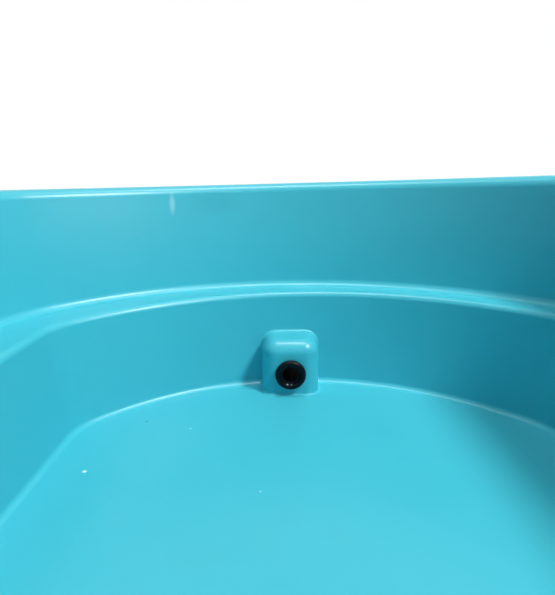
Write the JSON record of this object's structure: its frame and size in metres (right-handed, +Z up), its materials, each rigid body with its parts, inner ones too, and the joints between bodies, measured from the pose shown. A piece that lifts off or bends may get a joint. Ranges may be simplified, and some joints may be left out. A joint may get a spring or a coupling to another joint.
{
  "type": "pet bathtub",
  "caption": "Raised grooming bath: turquoise moulded tub with a shelf step, end-wall drain and plug valve, tether eyes and pull-out legs.",
  "frame": {"origin": "on the floor, under the middle of the tub", "axes": "+X towards the drain end, -Y towards the groomer, +Z up"},
  "size_m": [1.1538, 0.744, 0.82],
  "materials": {
    "tub_plastic": "moulded, satin gloss",
    "black_fitting": "moulded, satin",
    "lever_plastic": "moulded, satin",
    "rubber": "moulded, matt",
    "stainless": "brushed",
    "leg_tube": "powder coat, satin"
  },
  "bodies": {
    "tub": {"tub_shell": "tub_plastic", "drain_flange": "black_fitting", "flange_gasket": "rubber", "drain_nut": "black_fitting", "valve_body": "black_fitting", "valve_cap": "black_fitting", "tether_eye_head": "stainless", "tether_eye_drain": "stainless", "eye_screws": "stainless", "eye_nuts": "stainless"},
    "valve_key": {"valve_plug": "black_fitting", "plug_seal": "rubber", "valve_lever": "lever_plastic", "lever_nut": "stainless"},
    "leg_front_drain": {"leg_tube_front_drain": "leg_tube", "leg_foot_front_drain": "rubber"},
    "leg_rear_drain": {"leg_tube_rear_drain": "leg_tube", "leg_foot_rear_drain": "rubber"},
    "leg_front_head": {"leg_tube_front_head": "leg_tube", "leg_foot_front_head": "rubber"},
    "leg_rear_head": {"leg_tube_rear_head": "leg_tube", "leg_foot_rear_head": "rubber"}
  },
  "joints": [
    {"name": "valve_turn", "type": "hinge", "parent": "tub", "child": "valve_key", "pos_m": [0.496, 0, 0.5805], "axis": [0, 1, 0], "range_deg": [0, 90]},
    {"name": "pull_leg_front_drain", "type": "slide", "parent": "tub", "child": "leg_front_drain", "axis": [0, 0, -1], "range_m": [0, 0.095]},
    {"name": "pull_leg_rear_drain", "type": "slide", "parent": "tub", "child": "leg_rear_drain", "axis": [0, 0, -1], "range_m": [0, 0.095]},
    {"name": "pull_leg_front_head", "type": "slide", "parent": "tub", "child": "leg_front_head", "axis": [0, 0, -1], "range_m": [0, 0.095]},
    {"name": "pull_leg_rear_head", "type": "slide", "parent": "tub", "child": "leg_rear_head", "axis": [0, 0, -1], "range_m": [0, 0.095]}
  ]
}
